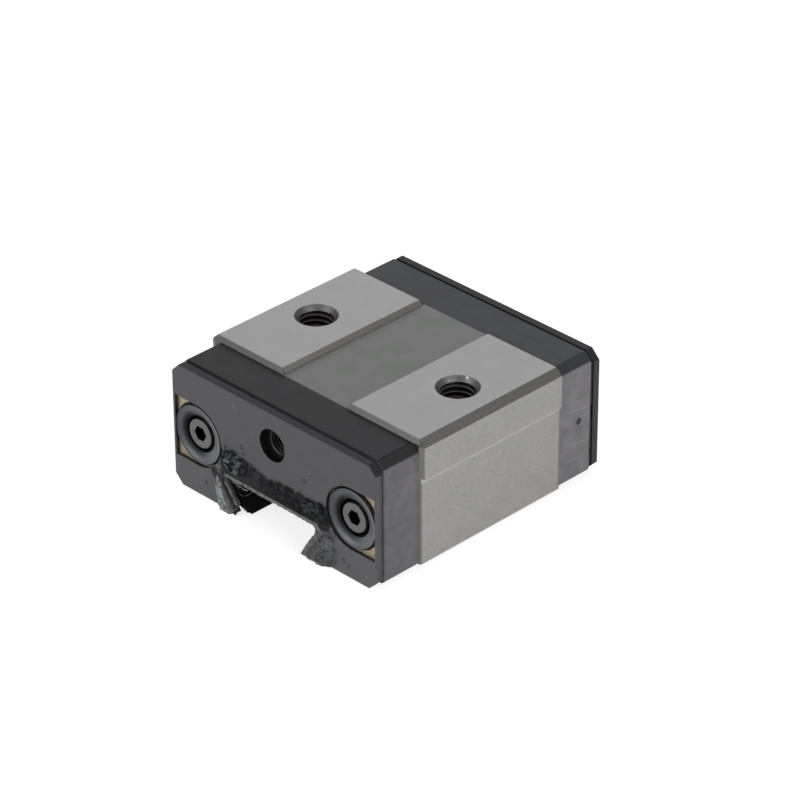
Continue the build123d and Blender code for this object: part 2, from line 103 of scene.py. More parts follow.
# Threads, in millimetres: the mouth's depth, then the walls, crests and turns
PORT_FACE = 29.8
PORT_LEAD = 0.1
PORT_THREAD = {"wall": 3.01, "crest": 2.6, "turns": 6}
MOUTH_DEPTH = 0.56
MOUNT_THREAD = {"wall": 4.01, "crest": 3.36, "turns": 8}
MOUTH_PROFILE = ((4.02, -0.54), (3.6, -0.96), (3.6, -1.04), (4.02, -1.4))
MOUTH_STEPS = 64
THREAD_STEPS = 48

# Marks: depth, middle across and up, slant in degrees, length and width
SIDE_NICK = (0.85, (2.2, 17.4), 62, 1.2, 0.12)
SIDE_SCRATCHES = (
    (0.25, (-9.0, 9.5), -38, 7.0, 0.09), (0.25, (7.0, 7.0), -41, 5.0, 0.08),
    (0.25, (-14.5, 24.5), 78, 2.4, 0.1),
)
MOULD_LINES = ((0.4, (24.8, 17.3), -9, 8.0, 0.16), (0.4, (25.5, 9.4), -9, 6.5, 0.14))
SEAL_SCRATCHES = (
    (0.3, (-10.9, 25.6), -58, 1.8, 0.3), (0.105, (-6.5, 22.0), -50, 2.6, 0.12),
    (0.15, (14.0, 21.5), -52, 2.6, 0.14), (0.105, (4.5, 17.0), -46, 2.2, 0.12),
)

# Bubbles in the front seal: middle across and up, and radius
BUBBLES = (
    ((-8.9, 16.8), 0.4), ((-8.3, 15.6), 0.22), ((9.1, 16.9), 0.42),
    ((19.8, 3.4), 0.4), ((-19.8, 3.8), 0.35), ((21.2, 2.8), 0.2),
)

# Outlines of the grease and the torn rubber on the front seal, across and up
LEFT_CLUMP = [
    (-13.9, 9.8), (-14.2, 12.2), (-13.0, 14.6), (-10.9, 15.0), (-9.0, 13.8), (-7.4, 12.3),
    (-7.1, 11.0), (-8.4, 10.1), (-11.6, 9.7),
]
LEFT_RIDGE = [(-15.3, 11.0), (-14.6, 13.6), (-13.8, 15.2), (-13.3, 15.0), (-13.9, 12.8), (-14.6, 10.6)]
MIDDLE_SMEAR = [
    (-11.4, 12.4), (-8.6, 14.2), (-5.4, 13.6), (-2.6, 12.8), (0.6, 12.7), (3.7, 13.0), (7.6, 13.2),
    (9.0, 9.9), (0.0, 9.8), (-8.0, 9.9), (-11.4, 9.9),
]
RIGHT_CLUMP = [
    (6.9, 10.4), (9.3, 12.6), (12.9, 13.6), (14.5, 13.1), (14.2, 11.4), (12.6, 10.1), (10.2, 9.5),
    (7.9, 9.7),
]
FOOT_FLARE = [
    (9.6, 0.9), (10.5, 2.9), (11.8, 5.0), (13.0, 6.9), (13.5, 8.6), (15.4, 8.4), (16.6, 6.6),
    (17.6, 4.4), (17.9, 1.6), (16.4, 0.3), (14.6, -0.9), (10.2, -0.9),
]
TORN_FLAP = [
    (-14.9, 10.6), (-16.1, 6.8), (-16.4, 4.8), (-16.0, 2.2), (-15.0, -0.5), (-12.6, -0.6),
    (-11.0, 0.7), (-9.8, 3.4), (-10.9, 4.7), (-12.3, 6.7), (-13.5, 9.1),
]

# Points that the lip's frayed edge, its shreds and the strands of grease run through
LIP_EDGE = [
    (-16.1, -31.6, 9.9), (-14.9, -31.75, 9.7), (-13.6, -32.05, 9.6), (-12.6, -32.3, 9.3),
    (-10.1, -32.3, 8.95), (-8.1, -32.3, 8.85), (-5.6, -32.3, 8.95), (-0.5, -32.3, 8.85),
    (4.2, -32.3, 8.95), (8.2, -32.3, 8.9), (11.3, -32.3, 8.85), (12.6, -32.3, 8.8),
    (13.25, -32.3, 8.15), (13.0, -32.3, 6.95), (11.8, -32.3, 5.2), (10.45, -32.3, 3.35),
    (9.4, -32.3, 1.6), (9.6, -32.3, 0.4), (12.2, -32.3, 0.3), (14.4, -32.2, 0.3),
]
TORN_SHREDS = [
    (-11.4, -32.3, 8.9), (-10.6, -32.4, 8.5), (-9.8, -32.4, 8.6), (-8.9, -32.45, 8.1),
    (-8.2, -32.4, 8.4), (-7.2, -32.45, 7.95), (-6.2, -32.4, 8.5),
]
STRANDS = (
    ([(-13.2, -31.0, 7.9), (-11.8, -30.8, 7.0), (-10.2, -30.8, 7.2), (-8.2, -31.0, 8.6)], 0.12),
    ([(-12.9, -30.8, 6.9), (-11.4, -30.5, 5.6), (-9.6, -30.5, 6.0), (-6.6, -30.8, 8.6)], 0.09),
    ([(-12.2, -30.7, 5.4), (-10.8, -30.2, 4.1), (-9.0, -30.2, 4.8), (-5.2, -30.6, 8.6)], 0.1),
)

# Lamps: direction, distance and side in metres, and the brightness of the surface
LAMPS = (
    ("front_light", (-0.25, -1.0, 0.42), 0.7, 0.5, 2.3),
    ("right_light", (1.0, -0.1, 0.42), 0.7, 0.5, 2.8),
    ("back_light", (-0.6, 0.6, 0.55), 0.8, 0.6, 0.7),
)
LAMP_AIM = 0.015
WORLD_LIGHT = 0.2
FLOOR_GLOW = 0.25
FLOOR_WHITE = 0.73

BLACK = (0.004, 0.004, 0.004)
WHITE = (1.0, 1.0, 1.0)


class Wire:
    """A socket of a material's node tree, for sums written as Python expressions."""

    def __init__(self, paint, socket):
        self.paint = paint
        self.socket = socket

    def worked(self, operation, first, second=0.0):
        """The result of a Math node on one or two values."""
        node = self.paint.add("ShaderNodeMath", {"operation": operation}, {0: first, 1: second})
        return Wire(self.paint, node.outputs[0])

    def __add__(self, other):
        return self.worked("ADD", self, other)

    def __radd__(self, other):
        return self.worked("ADD", other, self)

    def __sub__(self, other):
        return self.worked("SUBTRACT", self, other)

    def __rsub__(self, other):
        return self.worked("SUBTRACT", other, self)

    def __mul__(self, other):
        return self.worked("MULTIPLY", self, other)

    def __rmul__(self, other):
        return self.worked("MULTIPLY", other, self)

    def __abs__(self):
        return self.worked("ABSOLUTE", self)

    def clamped(self):
        """The value, kept between 0 and 1."""
        return min_of(max_of(self, 0.0), 1.0)

    def root(self):
        return self.worked("SQRT", self)

    def sign(self):
        """1 on the right of the middle, -1 on the left."""
        return self.worked("SIGN", self)


def away_from(across, up):
    """Distance from an axis, from the two distances beside it."""
    return (across * across + up * up).root()


def max_of(first, second):
    """The larger of two values, at least one of them a wire."""
    wire = first if isinstance(first, Wire) else second
    return wire.worked("MAXIMUM", first, second)


def min_of(first, second):
    """The smaller of two values, at least one of them a wire."""
    wire = first if isinstance(first, Wire) else second
    return wire.worked("MINIMUM", first, second)


class Paint:
    """A material in the making."""

    def __init__(self, name, metallic=0.0, specular=0.5, ior=1.5):
        self.material = bpy.data.materials.new(name)
        self.material.use_nodes = True
        self.tree = self.material.node_tree
        self.shader = self.tree.nodes["Principled BSDF"]
        self.shader.inputs["Metallic"].default_value = metallic
        self.shader.inputs["Specular IOR Level"].default_value = specular
        self.shader.inputs["IOR"].default_value = ior
        coordinates = self.add("ShaderNodeTexCoord")
        scaled = self.add(
            "ShaderNodeVectorMath", {"operation": "SCALE"},
            {"Vector": coordinates.outputs["Object"], "Scale": 1.0 / MM},
        )
        self.place = scaled.outputs["Vector"]
        parts = self.add("ShaderNodeSeparateXYZ", {}, {0: self.place})
        self.x, self.y, self.z = (Wire(self, parts.outputs[i]) for i in range(3))

    def add(self, kind, settings=None, sockets=None):
        """Adds a node, sets what it is, then gives its sockets their values or links."""
        node = self.tree.nodes.new(kind)
        for key, value in (settings or {}).items():
            setattr(node, key, value)
        for key, value in (sockets or {}).items():
            self.feed(node.inputs[key], value)
        return node

    def feed(self, socket, value):
        """Links a wire or an output to a socket, or sets the socket's own value."""
        if isinstance(value, Wire):
            value = value.socket
        if isinstance(value, bpy.types.NodeSocket):
            self.tree.links.new(value, socket)
        elif socket.type == "RGBA" and len(value) == 3:
            socket.default_value = (*value, 1.0)
        else:
            socket.default_value = value

    def stretched(self, x, y, z):
        """The place with each axis scaled, so that a pattern is drawn out along the smallest."""
        node = self.add(
            "ShaderNodeVectorMath", {"operation": "MULTIPLY"}, {0: self.place, 1: (x, y, z)}
        )
        return node.outputs["Vector"]

    def noise(self, size, detail=4.0, roughness=0.55, place=None, distortion=0.0):
        """Cloudy noise about 0.5 whose blotches are about size millimetres across."""
        node = self.add(
            "ShaderNodeTexNoise", {},
            {
                "Vector": place or self.place, "Scale": 1.0 / size, "Detail": detail,
                "Roughness": roughness, "Distortion": distortion,
            },
        )
        return Wire(self, node.outputs["Fac"])

    def ramp(self, value, low, high):
        """Smooth rise from 0 to 1 as value goes from low to high, which may be the smaller."""
        node = self.add(
            "ShaderNodeMapRange", {"interpolation_type": "SMOOTHSTEP"},
            {"Value": value, "From Min": low, "From Max": high},
        )
        return Wire(self, node.outputs["Result"])

    def inside(self, value, low, high, soft=0.02):
        """1 where value lies between low and high, 0 elsewhere."""
        rise = self.ramp(value, low - soft, low + soft)
        return rise * (1.0 - self.ramp(value, high - soft, high + soft))

    def mix(self, factor, first, second):
        """Blend of two colours."""
        node = self.add(
            "ShaderNodeMix", {"data_type": "RGBA"}, {"Factor": factor, "A": first, "B": second}
        )
        return node.outputs["Result"]

    def tone(self, colour, amount):
        """A colour made darker or lighter by a wire around 1."""
        if not isinstance(colour, bpy.types.NodeSocket):
            colour = tuple(colour)
        node = self.add(
            "ShaderNodeVectorMath", {"operation": "SCALE"}, {"Vector": colour, "Scale": amount}
        )
        return node.outputs["Vector"]

    def bump(self, height, distance, strength=1.0, normal=None):
        """Normal of a surface raised by height times distance millimetres."""
        sockets = {"Height": height * distance, "Distance": MM, "Strength": strength}
        if normal:
            sockets["Normal"] = normal
        return self.add("ShaderNodeBump", {}, sockets).outputs["Normal"]

    def finish(self, colour, roughness, normal):
        """Feeds the shader and gives the finished material."""
        self.feed(self.shader.inputs["Base Color"], colour)
        self.feed(self.shader.inputs["Roughness"], roughness)
        self.feed(self.shader.inputs["Normal"], normal)
        return self.material


def dulled(paint, factor, colour):
    """Lays a dull coat over part of a finish, where grease swallows the shine."""
    dull = paint.add("ShaderNodeBsdfPrincipled", {}, {
        "Base Color": colour, "Roughness": 1.0, "Specular IOR Level": 0.0})
    mixed = paint.add(
        "ShaderNodeMixShader", {}, {0: factor, 1: paint.shader.outputs[0], 2: dull.outputs[0]}
    )
    paint.tree.links.new(mixed.outputs[0], paint.tree.nodes["Material Output"].inputs["Surface"])


def dress(name, material):
    """Gives a CAD node its finish."""
    slots = NODES[name].data.materials
    slots.clear()
    slots.append(material)


def rounded(paint, radius):
    """Normal that softens the sharp edges, and a mask of where they are."""
    soft = paint.add("ShaderNodeBevel", {"samples": 6}, {"Radius": radius * MM}).outputs["Normal"]
    hard = paint.add("ShaderNodeNewGeometry").outputs["Normal"]
    match = paint.add("ShaderNodeVectorMath", {"operation": "DOT_PRODUCT"}, {0: soft, 1: hard})
    return soft, paint.ramp(Wire(paint, match.outputs["Value"]), 0.99, 0.8)


def slanted(paint, degrees, across, along):
    """Coordinates for streaks that slant over faces seen from the front or the side."""
    node = paint.add(
        "ShaderNodeMapping", {"vector_type": "TEXTURE"},
        {"Vector": paint.place, "Rotation": (math.radians(degrees), math.radians(degrees), 0.0),
         "Scale": (along, along, across)},
    )
    return node.outputs["Vector"]


def scratch(paint, across, up, centre, degrees, length, width):
    """Mask of one straight scratch on a face whose places are given by two wires."""
    c, s = math.cos(math.radians(degrees)), math.sin(math.radians(degrees))
    along = (across - centre[0]) * c + (up - centre[1]) * s
    beside = (up - centre[1]) * c - (across - centre[0]) * s
    lengthways = paint.inside(abs(along), -1.0, length / 2, length / 4)
    return lengthways * paint.inside(abs(beside), -1.0, width / 2, width / 3)


def scratches(paint, across, up, marks):
    """Several scratches added up, each with its depth, middle, slant, length and width."""
    return sum(depth * scratch(paint, across, up, *mark) for depth, *mark in marks)


def ring(paint, across, up, centre, radius, width):
    """Mask of a small ring on a face whose places are given by two wires."""
    distance = away_from(across - centre[0], up - centre[1])
    return paint.inside(distance, radius - width / 2, radius + width / 2, width / 3)


def turned_lines(paint, square):
    """Fine rings left by a tool, from the square of the distance to its axis."""
    rings = paint.add("ShaderNodeCombineXYZ", {}, {0: square * 0.6})
    return paint.noise(0.35, detail=3.0, roughness=0.7, place=rings.outputs[0])


def ground_steel(settings):
    """The block: ground pads, a duller band between them and milled sides, with painted highlights on the
    edges and side step, a painted glint at a hole's mouth, and painted shade on the end chamfers and in the
    bores.
    """
    paint = Paint("ground_steel", metallic=1.0)
    x, y, z = abs(paint.x), abs(paint.y), paint.z
    pads = paint.ramp(z, PAD_TOP - 0.04, PAD_TOP - 0.02)
    floor = PAD_TOP - BAND_DEPTH
    band = paint.inside(z, floor - 0.03, floor + 0.03) * paint.inside(x, -1.0, BAND_HALF)
    lower = paint.ramp(x, LOWER_SIDE - 0.02, LOWER_SIDE) * paint.ramp(z, STEP_BOTTOM + 0.03, STEP_BOTTOM)
    side = paint.ramp(x, UPPER_SIDE - 0.03, UPPER_SIDE) + lower
    side = side.clamped() * paint.ramp(y, BLOCK_END + 0.14, BLOCK_END + 0.1)
    # The step along each side is painted near white: a painted highlight.
    step = paint.ramp(x, LOWER_SIDE, LOWER_SIDE + 0.04) * paint.ramp(x, UPPER_SIDE + 0.02, UPPER_SIDE - 0.01)
    step = step * paint.inside(z, STEP_BOTTOM - 0.05, STEP_TOP, 0.06)
    ends = paint.ramp(y, BLOCK_END - 0.04, BLOCK_END)
    grain = paint.noise(0.18, detail=5.0, roughness=0.7)
    mottle = paint.noise(0.7, detail=6.0, roughness=0.75)
    cloud = paint.noise(5.0, detail=3.0)
    smudge = paint.noise(3.0, detail=2.0, place=paint.stretched(1.0, 0.45, 1.0))
    streak = paint.noise(0.5, detail=4.0, place=paint.stretched(3.0, 0.06, 3.0))
    slant = paint.noise(0.6, detail=5.0, place=slanted(paint, 52, 0.12, 3.0))

    # The chamfers at the block's ends get a darker colour: painted shade for the dark they reflect.
    corner = paint.ramp(x, 28.6, 28.9) * paint.ramp(z, PAD_TOP - 1.2, PAD_TOP - 1.5)
    milled = paint.mix(ends * (1.0 - corner), settings.milled_colour, settings.end_shade_colour)
    milled = paint.tone(milled, 0.86 + 0.2 * mottle + 0.08 * grain)
    top = paint.tone(settings.ground_colour, 0.9 + 0.06 * grain + 0.08 * smudge + 0.06 * streak)
    middle = paint.mix(paint.ramp(cloud, 0.4, 0.7), settings.band_colour, settings.band_tint)
    middle = paint.tone(middle, 0.87 + 0.08 * grain + 0.08 * mottle + 0.1 * streak)
    warm = paint.ramp(paint.y - paint.z * 0.9, -12.0, 16.0) * paint.ramp(z, 20.0, 8.0)
    face = paint.mix(warm * (0.5 + 0.5 * cloud), settings.side_colour, settings.side_tint)
    face = paint.tone(face, 0.4 + 0.8 * mottle + 0.6 * grain + 0.3 * slant + 0.2 * cloud)
    marks = scratches(paint, paint.y, z, (SIDE_NICK, *SIDE_SCRATCHES))
    face = paint.mix(marks.clamped(), face, (0.95, 0.94, 0.9))

    colour = paint.mix(side, milled, face)
    colour = paint.mix(step, colour, settings.step_highlight_colour)
    colour = paint.mix(band, colour, middle)
    colour = paint.mix(pads, colour, top)
    square = (x - HOLE_X) * (x - HOLE_X) + y * y
    cone = paint.ramp(square, 21.5, 21.0) * paint.ramp(z, PAD_TOP - 0.02, PAD_TOP - 0.05)
    turned = paint.tone(settings.mouth_colour, 2.2 * turned_lines(paint, square) - 0.1)
    colour = paint.mix(cone, colour, turned)
    # A near-white spot where a burr sits on a hole's mouth: a painted glint.
    across, along = paint.x - (HOLE_X - 1.45), paint.y - 4.1
    burr_glint = paint.ramp(across * across + 2.0 * along * along, 0.16, 0.06) * cone
    colour = paint.mix(burr_glint, colour, (0.95, 0.95, 0.95))
    # Deep in the mounting holes the wall is painted near black: oil, and painted shade.
    bore_shade = paint.ramp(square, 17.0, 16.3) * paint.ramp(z, PAD_TOP - 0.5, PAD_TOP - 0.7)
    colour = paint.mix(bore_shade, colour, settings.bore_oil_and_shade_colour)
    # Sharp edges are painted lighter: a painted highlight along them.
    soft, edge = rounded(paint, 0.12)
    colour = paint.mix(0.25 * edge * (1.0 - bore_shade), colour, (0.75, 0.74, 0.7))
    rough = 0.34 + 0.2 * mottle + 0.06 * band - 0.05 * pads
    normal = paint.bump(grain * 0.5 + mottle * 0.5, 0.03 + 0.05 * side, 0.8, soft)
    return paint.finish(colour, rough, normal)


def thread_steel(settings):
    """Cut threads in the mounting holes, near black between their crests with oil and painted shade."""
    paint = Paint("thread_steel", metallic=1.0)
    crest = paint.ramp(away_from(abs(paint.x) - HOLE_X, paint.y), 3.75, 3.4)
    rust = paint.noise(0.6, detail=4.0)
    worn = paint.mix(rust, (0.34, 0.33, 0.32), (0.15, 0.11, 0.08))
    colour = paint.mix(crest, settings.bore_oil_and_shade_colour, worn)
    return paint.finish(colour, 0.28 + 0.2 * rust, paint.bump(rust, 0.03))


def mouth_steel(settings):
    """The ring where a countersink cuts into the first thread, with fine turned lines."""
    paint = Paint("mouth_steel", metallic=1.0)
    x = abs(paint.x) - HOLE_X
    lines = turned_lines(paint, x * x + paint.y * paint.y)
    colour = paint.tone(settings.mouth_colour, 2.2 * lines - 0.1)
    return paint.finish(colour, 0.3 + 0.2 * lines, paint.bump(lines, 0.04))


def cap_resin(settings):
    """Moulded end caps with flow marks: dark tops with a painted sheen, sides painted far lighter as painted
    sheen, the rear cap painted paler as a painted reflection.
    """
    paint = Paint("cap_resin", specular=0.34)
    x, y, z = abs(paint.x), abs(paint.y), paint.z
    sides = paint.ramp(x, 28.5, 28.7)
    inside = paint.ramp(x * x + (z - PORT_Z) * (z - PORT_Z), 14.5, 13.5)
    grain = paint.noise(0.15, detail=4.0)
    cloud = paint.noise(4.0, detail=3.0, distortion=0.6)
    flow = paint.noise(1.2, detail=4.0, place=paint.stretched(1.0, 1.6, 0.25))
    # Paler towards the rear cap: a painted reflection.
    rear_reflection = paint.ramp(paint.y, -10.0, 25.0)
    # Soft light patches on the tops: painted sheen.
    sheen = paint.noise(6.0, detail=2.0, place=paint.stretched(0.6, 1.6, 1.0), distortion=0.8)
    top = paint.mix(rear_reflection, settings.resin_colour, settings.resin_rear_reflection_colour)
    top = paint.tone(top, 0.2 + 0.5 * cloud + 1.0 * sheen + 0.2 * grain)
    # The caps' sides are painted far lighter than their tops: painted sheen, paler still at the rear as a
    # painted reflection.
    face = paint.mix(rear_reflection, settings.resin_lit_side_colour, settings.resin_rear_lit_side_colour)
    face = paint.tone(face, 0.48 + 0.85 * cloud + 0.12 * flow + 0.1 * grain)
    marked = paint.ramp(paint.x * paint.y, -1.0, 1.0)
    mould = scratches(paint, y, z, MOULD_LINES) * marked
    face = paint.mix(mould.clamped(), face, (0.6, 0.58, 0.6))
    # The front cap's sloping top edge gets its own lighter tone: painted light on that facet.
    slope = paint.ramp(x, 26.4, 26.7) * paint.ramp(z, CAP_TOP - 0.05, CAP_TOP - 0.2)
    top = paint.mix(0.9 * slope * (1.0 - rear_reflection), top, (0.036, 0.0355, 0.038))
    colour = paint.mix(sides, top, face)
    # A dark ring round the moulding dimple on one side of each cap: painted shade at its rim.
    dot = ring(paint, y, z, (25.65, 14.4), 0.66, 0.22) * sides * marked
    colour = paint.mix(dot * 0.5, colour, (0.006, 0.006, 0.007))
    # The grease port's mouth and hole are painted black: painted shade.
    colour = paint.mix(inside, colour, BLACK)
    under = paint.ramp(x, 14.6, 14.0) * paint.ramp(z, 9.8, 9.4)
    strand = paint.noise(0.45, detail=4.0, place=slanted(paint, 35, 0.3, 3.0), distortion=1.2)
    strand = paint.tone((0.055, 0.052, 0.05), paint.ramp(strand, 0.56, 0.7) + 0.06)
    colour = paint.mix(under, colour, strand)
    # Sharp edges are painted lighter: a painted highlight along them.
    soft, edge = rounded(paint, 0.15)
    colour = paint.mix(0.26 * edge * (1.0 - inside), colour, (0.3, 0.3, 0.32))
    rough = 0.34 + 0.12 * cloud + 0.12 * sides
    return paint.finish(colour, rough, paint.bump(0.6 * grain + 0.4 * cloud, 0.03, 0.5, soft))


def seal_rubber(settings):
    """End seals: face with slanting streaks, painted lighter than the edges as painted sheen, grease by the
    lip, a worn pale lip edge.
    """
    paint = Paint("seal_rubber", specular=0.36)
    x, y, z = paint.x, abs(paint.y), paint.z
    front = paint.ramp(paint.y, -29.0, -31.0)
    face = paint.ramp(y, SEAL_FACE - 0.05, SEAL_FACE + 0.06) * paint.ramp(z, 28.25, 28.2)
    grain = paint.noise(0.2, detail=5.0, roughness=0.7)
    cloud = paint.noise(3.5, detail=4.0)
    streak = paint.noise(0.5, detail=5.0, place=slanted(paint, -38, 0.15, 2.6))
    ragged = paint.noise(1.1, detail=5.0, roughness=0.7)
    low = paint.ramp(z, 16.0, 3.0)
    # The seals' faces are painted far lighter than their edges: painted sheen over dark rubber, with
    # slanting streaks.
    lit_wiped_face = paint.mix(low, settings.rubber_lit_face_colour, settings.rubber_low_colour)
    lit_wiped_face = paint.tone(lit_wiped_face, 0.6 + 0.3 * cloud + 0.4 * streak + 0.14 * grain)
    # The seals' flanks are painted lighter too, the front seal's most: painted sheen.
    lit_flank = paint.ramp(abs(x), 28.75, 28.85) * (0.25 + 0.75 * front)
    skin = paint.mix(lit_flank, settings.rubber_edge_colour, settings.rubber_lit_flank_colour)
    skin = paint.tone(skin, 0.8 + 0.3 * cloud + 0.2 * grain)
    colour = paint.mix(face, skin, lit_wiped_face)
    front_face = face * front
    marks = scratches(paint, x, z, SEAL_SCRATCHES) * front_face
    colour = paint.mix(marks.clamped(), colour, (0.36, 0.36, 0.38))
    for middle, radius in BUBBLES:
        bubble = ring(paint, x, z, middle, radius, 0.26) * front_face
        colour = paint.mix(0.9 * bubble, colour, (0.012, 0.012, 0.013))
    wander = ragged - 0.5
    crest = 13.4 + 0.5 * paint.ramp(x, -4.0, -9.0) - 0.5 * paint.inside(x, -3.0, 2.0, 1.5)
    grease = paint.ramp(z - crest + 3.0 * wander + 1.6 * (grain - 0.5), 0.7, -0.5)
    grease = grease * paint.ramp(x + 2.0 * wander, 16.6, 15.9) * paint.ramp(x + 3.0 * wander, -15.6, -14.8)
    foot = paint.ramp(abs(x) - z * 0.5 + 3.4 * wander, 14.6, 13.6) * paint.ramp(z, 9.4, 8.4)
    foot = foot * (1.0 - 0.8 * paint.ramp(x, 0.0, 2.0))
    grease = max_of(grease * paint.ramp(z, 8.0, 9.0), foot) * paint.ramp(y, SEAL_FACE, SEAL_FACE + 0.1)
    oily = paint.tone((0.011, 0.0115, 0.013), 0.4 + 1.2 * ragged)
    colour = paint.mix(grease * (0.3 + 0.7 * front), colour, oily)
    # Dark streaks fanning out by the right foot: painted shade of radial folds.
    radial_fold_shade = paint.noise(0.4, detail=3.0, place=slanted(paint, 20, 0.7, 2.6), distortion=0.4)
    radial_fold_shade = paint.ramp(radial_fold_shade, 0.5, 0.56) * paint.ramp(z, 9.6, 9.0) * paint.ramp(z, 5.4, 6.4)
    radial_fold_shade = radial_fold_shade * paint.ramp(x, 13.2, 14.0) * paint.ramp(x, 17.6, 16.6)
    colour = paint.mix(0.85 * radial_fold_shade * front_face, colour, (0.008, 0.008, 0.009))
    # The grease port's window is painted black behind the face: painted shade in the hole.
    port_shade = paint.ramp(x * x + (z - PORT_Z) * (z - PORT_Z), 14.0, 13.2)
    colour = paint.mix(port_shade * paint.ramp(y, SEAL_FACE + 0.09, SEAL_FACE + 0.04), colour, BLACK)
    bar = paint.ramp(z + 0.7 * wander, 9.8, 9.5) * paint.ramp(z, 8.5, 8.7)
    leg = paint.ramp(x, 9.0, 9.4) * paint.ramp(z, 9.0, 8.7)
    worn = paint.ramp(y, 32.42, 32.5) * max_of(bar, 0.6 * leg) * (1.0 - paint.ramp(x, -12.6, -13.2) * front)
    pale = paint.mix(paint.ramp(ragged, 0.35, 0.6), (0.09, 0.09, 0.093), settings.torn_colour)
    colour = paint.mix(worn, colour, pale)
    # Sharp edges are painted lighter: a painted highlight along them.
    soft, edge = rounded(paint, 0.14)
    colour = paint.mix(0.2 * edge, colour, (0.3, 0.31, 0.33))
    rough = (0.42 + 0.12 * streak) * (1.0 - grease) + 0.22 * grease
    height = 0.3 * grain + 0.2 * streak + 0.9 * grease * ragged
    # The grease band is painted lighter low down and to the left: painted light.
    painted_lit_patch = paint.ramp(z - crest, -0.6, -3.4) * paint.ramp(x, 6.0, -10.0)
    shade = 0.6 + 1.8 * paint.ramp(ragged, 0.44, 0.64) + 1.7 * painted_lit_patch
    dulled(paint, grease * front * (1.0 - worn) * 0.8, paint.tone((0.019, 0.0195, 0.021), shade))
    return paint.finish(colour, rough, paint.bump(height, 0.12, 0.5, soft))


def old_grease(name, dark, teal, pale, centre, reach, pits=0.4):
    """Stiff grease and torn rubber, teal and ridged round one place and dark further out."""
    paint = Paint(name, specular=0.3, ior=1.47)
    clump = paint.noise(1.2, detail=5.0, roughness=0.5, distortion=0.6)
    fibre = paint.noise(0.42, detail=4.0, place=slanted(paint, 62, 0.5, 2.4))
    away = away_from(paint.x - centre[0], paint.z - centre[1]) + 3.2 * (clump - 0.5)
    near = paint.ramp(away, reach, reach * 0.5) * paint.ramp(clump, 0.4, 0.6)
    colour = paint.mix(near, paint.tone(dark, 0.3 + 1.4 * clump), teal)
    colour = paint.mix(paint.ramp(fibre, 0.52, 0.66) * 0.75 * near, colour, pale)
    pit = paint.noise(0.9, detail=3.0, distortion=1.0)
    colour = paint.mix(paint.ramp(pit, pits, pits - 0.06), colour, BLACK)
    dulled(paint, (1.0 - near) * 0.6, paint.tone(dark, 0.4 + 1.2 * clump))
    return paint.finish(colour, 0.3 + 0.3 * clump, paint.bump(0.8 * clump + 0.6 * fibre, 0.2, 0.9))


def flap_skin(settings):
    """The torn flap: pale streaks down its outer edge, and painted shade in the folds towards the opening.
    """
    paint = Paint("flap_skin", specular=0.45, ior=1.47)
    down = paint.noise(0.5, detail=5.0, roughness=0.6, place=slanted(paint, 66, 0.3, 4.0))
    blotch = paint.noise(1.3, detail=4.0)
    outer = paint.x + 0.3 * (paint.z - 4.5) + 15.0 + 1.6 * (blotch - 0.5)
    pale = paint.ramp(abs(outer), 1.5, 0.5) * paint.ramp(down, 0.36, 0.56)
    colour = paint.mix(paint.ramp(down, 0.42, 0.62), settings.torn_dark, settings.torn_colour)
    colour = paint.mix(pale, colour, settings.flap_colour)
    # Darker in the folds towards the opening: painted shade.
    flap_fold_shade = paint.ramp(paint.x + 0.55 * (paint.z - 4.0), -12.9, -11.9) * paint.ramp(down, 0.6, 0.45)
    colour = paint.mix(flap_fold_shade * 0.7, colour, settings.grease_dark)
    return paint.finish(colour, 0.36 + 0.2 * down, paint.bump(down, 0.16, 0.8))


def torn_rubber(settings, name, pale):
    """Frayed rubber or a strand of grease, dark in its hollows."""
    paint = Paint(name)
    fray = paint.noise(0.6, detail=5.0, roughness=0.7)
    colour = paint.mix(paint.ramp(fray, 0.36, 0.58), settings.torn_dark, pale)
    return paint.finish(colour, 0.35 + 0.2 * fray, paint.bump(fray, 0.15, 0.8))


def collar_steel(settings):
    """Turned collars, blackened, with fine rings from the lathe, painted shade in the dish and the gap round
    the screw, and painted light towards the right.
    """
    paint = Paint("collar_steel", metallic=1.0)
    z = paint.z - SCREW_Z
    radius = away_from(abs(paint.x) - SCREW_X, z)
    rings = paint.add("ShaderNodeCombineXYZ", {}, {0: radius * 4.0})
    turned = paint.noise(0.5, detail=3.0, place=rings.outputs[0])
    rim = paint.ramp(radius, 5.8, 5.95)
    # The gap round the screw head is painted black: painted shade.
    bore_shade = paint.ramp(radius, 4.2, 4.12)
    # The dish is painted darker near the bore on its lower left and lighter towards the right: painted shade
    # and painted light.
    towards = (paint.x - SCREW_X * paint.x.sign()) * 0.95 + z * 0.3
    dish_shade = paint.ramp(radius, 5.6, 4.4) * paint.ramp(towards, 2.4, -2.6)
    light = (1.0 - 0.85 * dish_shade) * (1.0 + 0.07 * towards)
    colour = paint.mix(rim, settings.collar_colour, settings.collar_rim_colour)
    colour = paint.tone(colour, light * (0.85 + 0.3 * turned))
    colour = paint.mix(bore_shade, colour, BLACK)
    return paint.finish(colour, 0.36 + 0.14 * turned, paint.bump(turned, 0.015, 0.5))


